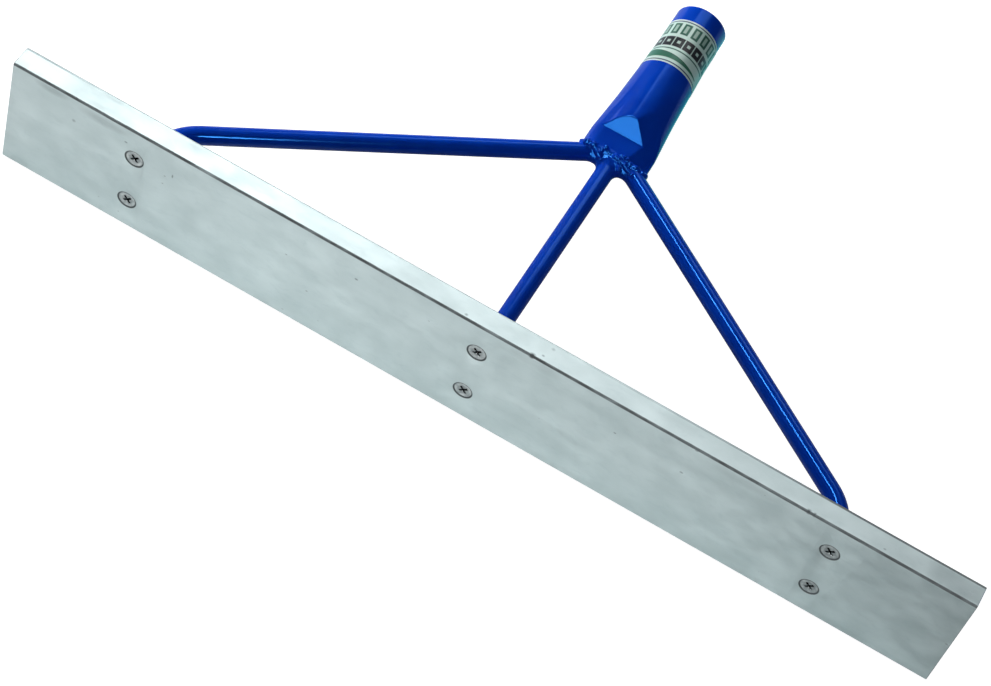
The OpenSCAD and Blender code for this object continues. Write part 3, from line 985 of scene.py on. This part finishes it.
def screw_pattern():
    """Countersunk screw: a flat head with a thin rim, a cross recess, and a threaded tail"""
    neck_y = HEAD_SINK + HEAD_R - SCREW_R
    thread_y = NUT_END_Y - 0.6
    head = [(HEAD_SINK + 0.18, 0.01), (HEAD_SINK + 0.18, 5.1), (HEAD_SINK + 0.05, 5.5),
            (HEAD_SINK, 6.0), (HEAD_SINK, HEAD_R - 0.55), (HEAD_SINK + 0.1, HEAD_R - 0.22),
            (HEAD_SINK + 0.32, HEAD_R - 0.14), (HEAD_SINK + 0.5, HEAD_R - 0.32),
            (neck_y, SCREW_R), (neck_y + 0.6, SCREW_R - 0.05), (thread_y, SCREW_R - 0.05)]
    pitch, depth = 1.25, 0.62
    end_y = SCREW_END_Y

    def wobble(y, a):
        if y <= thread_y:
            return 0.0
        phase = (y / pitch - a / (2 * pi)) % 1.0
        fade = min(1.0, (y - thread_y) / 0.3) * min(1.0, max(0.0, (end_y - y) / 0.35))
        return -depth * abs(2 * phase - 1) * fade

    for k in range(1, 25):
        y = thread_y + (end_y - thread_y) * k / 24
        head.append((y, min(SCREW_R, SCREW_R - 0.55 + (end_y - y) * 1.1)))
    head.append((end_y, 0.01))
    body = turned(head, 64, wobble=wobble)
    return link_mesh("screw_pattern", carve(body, cross_cutter()), Matrix.Identity(4), 30)


def hollow_pattern(name, profile, steps):
    """A ring drawn round +Y from the (y, r) points of its cross-section"""
    rings = [[(r * cos(a), y, r * sin(a)) for y, r in profile] for a in round_steps(steps)]
    return link_mesh(name, loft(rings, closed=True), Matrix.Identity(4), 30)


def washer_pattern():
    r = 0.25
    profile = [(PLATE_Y, HOLE_R + 0.1), (PLATE_Y, WASHER_R - r), (PLATE_Y + r, WASHER_R),
               (PLATE_Y + WASHER_T - r, WASHER_R), (PLATE_Y + WASHER_T, WASHER_R - r),
               (PLATE_Y + WASHER_T, HOLE_R + 0.1), (PLATE_Y + WASHER_T - 0.12, HOLE_R),
               (PLATE_Y + 0.12, HOLE_R)]
    return hollow_pattern("washer_pattern", profile, 64)


def nut_pattern():
    """Lock nut: a hexagon with turned chamfers and a round collar crimped over its ring"""
    rings = []

    def hexagon(a):
        a = a % (pi / 3) - pi / 6
        return NUT_FLATS / 2 / cos(a)

    top = WASHER_Y + NUT_HEX_H
    corner = NUT_FLATS / 2 / cos(pi / 6)
    levels = [(WASHER_Y, NUT_FLATS / 2 - 0.2), (WASHER_Y + 0.5, corner - 0.35), (WASHER_Y + 0.75, corner),
              (top - 0.75, corner), (top - 0.45, corner - 0.3), (top, NUT_COLLAR_R + 0.12),
              (top + 0.15, NUT_COLLAR_R), (NUT_END_Y - 0.7, NUT_COLLAR_R),
              (NUT_END_Y - 0.3, NUT_COLLAR_R - 0.15),
              (NUT_END_Y - 0.06, NUT_COLLAR_R - 0.5), (NUT_END_Y, NUT_COLLAR_R - 0.8),
              (NUT_END_Y - 0.05, RING_R - 0.35), (NUT_END_Y - 0.35, RING_R - 0.3),
              (NUT_END_Y - 0.4, RING_R), (NUT_END_Y - RING_T, RING_R), (NUT_END_Y - RING_T, SCREW_R + 0.03),
              (WASHER_Y + 0.6, SCREW_R + 0.03), (WASHER_Y, SCREW_R + 0.6)]
    for y, limit in levels:
        ring = []
        for a in round_steps(120):
            r = min(limit, hexagon(a)) if limit > NUT_COLLAR_R + 0.01 else limit
            ring.append((r * cos(a), y, r * sin(a)))
        rings.append(ring)
    return link_mesh("nut_pattern", loft(rings, closed=True), Matrix.Identity(4), 28)


def ring_pattern():
    y0, y1 = NUT_END_Y - RING_T + 0.02, NUT_END_Y - 0.42
    profile = [(y0, SCREW_R + 0.02), (y0, RING_R - 0.05), (y1, RING_R - 0.05), (y1 + 0.12, RING_R - 0.4),
               (y1 + 0.1, SCREW_R + 0.35), (y1 - 0.1, SCREW_R + 0.02)]
    return hollow_pattern("ring_pattern", profile, 56)


def at_screws(name, pattern, material, slot, node, turn, seed):
    """Sets a pattern at each screw with Geometry Nodes; every copy is turned a little differently"""
    tree = bpy.data.node_groups.new("set_" + name, "GeometryNodeTree")
    tree.interface.new_socket("Geometry", in_out="OUTPUT", socket_type="NodeSocketGeometry")
    sizes = {"Pattern": ("Object", pattern), "Column gap": ("Float", SCREW_COLUMN_X),
             "Row gap": ("Float", SCREW_ROW_GAP), "Middle height": ("Float", STRUT_Z),
             "Largest turn": ("Float", turn), "Seed": ("Int", seed)}
    keys = {label: tree.interface.new_socket(
        label, in_out="INPUT", socket_type="NodeSocket" + kind).identifier
        for label, (kind, _) in sizes.items()}
    given = add(tree, "NodeGroupInput").outputs
    height = add(tree, "Math:MULTIPLY", (given["Row gap"], -0.5))
    low = add(tree, "Math:ADD", (given["Middle height"], height))
    left = add(tree, "Math:MULTIPLY", (given["Column gap"], -1.0))
    columns = add(tree, "GeometryNodeMeshLine", {
        "Count": 3, "Start Location": add(tree, "CombineXYZ", {"X": left, "Z": low}),
        "Offset": add(tree, "CombineXYZ", {"X": given["Column gap"]})})
    upper = add(tree, "GeometryNodeTransform", {
        "Geometry": columns, "Translation": add(tree, "CombineXYZ", {"Z": given["Row gap"]})})
    both = add(tree, "GeometryNodeJoinGeometry")
    for row in (columns, upper):
        tree.links.new(row.outputs[0], both.inputs[0])
    shape = add(tree, "GeometryNodeObjectInfo", {"Object": given["Pattern"]}).outputs["Geometry"]
    least = add(tree, "Math:MULTIPLY", (given["Largest turn"], -1.0))
    angle = add(tree, "FunctionNodeRandomValue", {
        "Min": least, "Max": given["Largest turn"], "Seed": given["Seed"]}, data_type="FLOAT")
    spun = add(tree, "GeometryNodeInstanceOnPoints", {
        "Points": both, "Instance": shape, "Rotation": add(tree, "CombineXYZ", {"Y": angle})})
    real = add(tree, "GeometryNodeRealizeInstances", {"Geometry": spun})
    dressed = add(tree, "GeometryNodeSetMaterial", {"Geometry": real, "Material": material})
    add(tree, "NodeGroupOutput", {"Geometry": dressed})

    carrier = linked(name, bpy.data.meshes.new(name))
    rule = carrier.modifiers.new("set", "NODES")
    rule.node_group = tree
    for label, (_, value) in sizes.items():
        rule[keys[label]] = value
    mesh = settled(carrier)
    carrier.modifiers.clear()
    carrier.data = mesh
    mesh.name = name
    mesh.transform(STAND)
    remove(pattern)
    return finish_piece(carrier, material, slot, node)


blade()
for name, x, seed in (("left", COLUMNS[0], 21), ("middle", COLUMNS[1], 22), ("right", COLUMNS[2], 23)):
    foot_plate(name, x)
    foot_weld(name, x, seed)
side_strut("left", -1)
side_strut("right", 1)
middle_strut()
handle_socket()
socket_band()
socket_weld()
at_screws("head_screws", screw_pattern(), ZINC, "zinc_steel", "blade_screws", radians(5), 3)
at_screws("steel_washers", washer_pattern(), ZINC, "zinc_steel", "washers", radians(40), 4)
at_screws("locking_nuts", nut_pattern(), ZINC, "zinc_steel", "lock_nuts", radians(30), 6)
at_screws("locking_rings", ring_pattern(), NYLON, "ring_nylon", "nut_rings", radians(30), 6)


# Floor, lights and camera

def studio_rays(node):
    """The kinds of rays, and 1 for those that the camera sends or that come off gloss"""
    rays = node("LightPath").outputs
    seen = node("Math:MAXIMUM", (rays["Is Glossy Ray"], rays["Is Transmission Ray"]))
    return rays, node("Math:MAXIMUM", (rays["Is Camera Ray"], seen))


def on_stage(name, bm, finish):
    """Puts a drawing on the stage round the rake"""
    mesh = bpy.data.meshes.new(name)
    bm.to_mesh(mesh)
    bm.free()
    mesh.materials.append(finish)
    made = linked(name, mesh)
    return made


def studio_floor():
    """Plain floor. The camera sees it white with the rake's faint shadow; gloss and metal see it
    with painted shade and painted light falloff by place, and its own light on the rake stays low."""
    finish = bpy.data.materials.new("studio_floor")
    node = emptied(finish)
    rays, seen = studio_rays(node)
    x, y, _ = node("SeparateXYZ", (node("TexCoord").outputs["Object"],)).outputs
    # In gloss the floor in front of the blade has a painted falloff away from the lamps and painted shade
    # right at its foot
    front = node("ValToRGB", (node("MapRange", (x, -0.5, 0.5)),))
    ramp = front.color_ramp.elements
    ramp.remove(ramp[1])
    ramp[0].position = 0.0
    ramp[0].color = (0.56, 0.56, 0.56, 1)
    for at, level in ((-0.40, 0.59), (-0.28, 0.65), (-0.20, 0.74), (-0.04, 0.61), (0.10, 0.54),
                      (0.22, 0.45), (0.30, 0.30), (0.40, 0.18)):
        ramp.new(at + 0.5).color = (level, level, level, 1)
    front = tinted(node, front, "#101314", y, -0.27, -0.205, 0.30)
    # Behind the blade the floor has painted shade in place of the rake's shade, and right of the socket
    # a painted teal patch for the tube to reflect, which the lower side of the photograph's tube shows
    beside = node("MapRange", (x, -0.02, 0.02))
    beyond = node("MapRange", (x, 0.08, 0.16, 1.0, 0.0))
    patch = node("Math:MULTIPLY", (beside, beyond))
    side = node("Mix:RGBA", (patch, "#7C93AC", "#30D2D2"))
    past_struts = node("MapRange", (y, 0.04, 0.11))
    shade = node("Mix:RGBA", (past_struts, "#22303F", side))
    behind = node("MapRange", (y, -0.17, -0.06))
    painted_gloss_floor = node("Mix:RGBA", (behind, front, shade))
    glow = node("Mix:RGBA", (rays["Is Glossy Ray"], (0.98, 0.98, 0.98, 1), painted_gloss_floor))
    shaded = node("AddShader", (node("Emission", (glow, 1.0)),
                                     node("BsdfDiffuse", ((0.4, 0.4, 0.4, 1),))))
    plain = node("BsdfDiffuse", ("#55585B",))
    node("OutputMaterial", {"Surface": node("MixShader", (seen, plain, shaded))})
    bm = bmesh.new()
    bmesh.ops.create_grid(bm, x_segments=1, y_segments=1, size=8.0)
    on_stage("studio_floor", bm, finish).location = (0, 0, -0.0005)


def studio_world():
    world = bpy.data.worlds.new("studio_air")
    bpy.context.scene.world = world
    node = emptied(world)
    _, seen = studio_rays(node)
    room = node("Background", ("#C9D2D8", 0.36))
    white = node("Background", ((1, 1, 1, 1), 1.0))
    node("OutputWorld", {"Surface": node("MixShader", (seen, room, white))})


def studio_room():
    """The dim room above the lamps, which only gloss and metal show"""
    finish = bpy.data.materials.new("studio_room")
    node = emptied(finish)
    node("OutputMaterial", {"Surface": node("Emission", ("#5E6A78", 0.25))})
    bm = bmesh.new()
    bmesh.ops.create_uvsphere(bm, u_segments=48, v_segments=24, radius=7.0)
    bmesh.ops.bisect_plane(bm, geom=bm.verts[:] + bm.edges[:] + bm.faces[:], plane_co=(0, 0, 0.0),
                           plane_no=(0, 0, -1), clear_outer=True)
    room = on_stage("studio_room", bm, finish)
    room.visible_camera = False
    room.visible_diffuse = False
    room.visible_transmission = False
    room.visible_shadow = False


def softbox(name, toward, distance, size, watts, spin=None, gloss=True, matt=True):
    """An area light seen from the rake in direction toward, which gloss or matt surfaces may miss"""
    lamp = bpy.data.lights.new(name, "AREA")
    lamp.shape = "RECTANGLE"
    lamp.size, lamp.size_y = size
    lamp.energy = watts
    box = linked(name, lamp)
    box.visible_glossy = gloss
    box.visible_diffuse = matt
    out = Vector(toward).normalized()
    across = Vector(spin) if spin else Vector((0, 0, 1)).cross(out)
    across = (across - out * across.dot(out)).normalized()
    box.matrix_world = Matrix.Translation(out * distance) @ Matrix(
        (across, out.cross(across), out)).transposed().to_4x4()


studio_floor()
studio_world()
studio_room()
softbox("left_window", (-0.78, 0.50, 0.37), 0.85, (0.5, 0.5), 6.4, gloss=False)
softbox("front_bank", (-0.12, -0.69, 0.72), 2.2, (1.8, 1.4), 112, matt=False)
softbox("front_spot", (0.35, -0.55, 0.76), 1.8, (0.35, 0.35), 17, matt=False)
softbox("top_bank", (-0.344, 0.107, 0.932), 2.2, (0.9, 0.35), 34, spin=(0.705, -0.534, 0.32), matt=False)
softbox("back_bank", (-0.065, 0.74, 0.64), 2.3, (1.4, 0.6), 7.6, matt=False)


def photo_camera():
    """The photograph's place: above the blade, a little to the right, turned on its axis"""
    lens = bpy.data.cameras.new("photo_camera")
    lens.sensor_width = 36.0
    lens.lens = 105.41
    lens.shift_x = -0.5 / 991
    lens.shift_y = 0.5 / 991
    lens.clip_end = 50
    camera = linked("photo_camera", lens)
    right = Vector((0.865459, 0.475599, 0.157438))
    up = Vector((-0.488666, 0.732166, 0.474488))
    back = right.cross(up)
    camera.matrix_world = Matrix.Translation((0.241531, -1.211034, 1.912357)) @ Matrix(
        (right, up, back)).transposed().to_4x4()
    bpy.context.scene.camera = camera


photo_camera()
bpy.context.scene.view_settings.view_transform = "Standard"
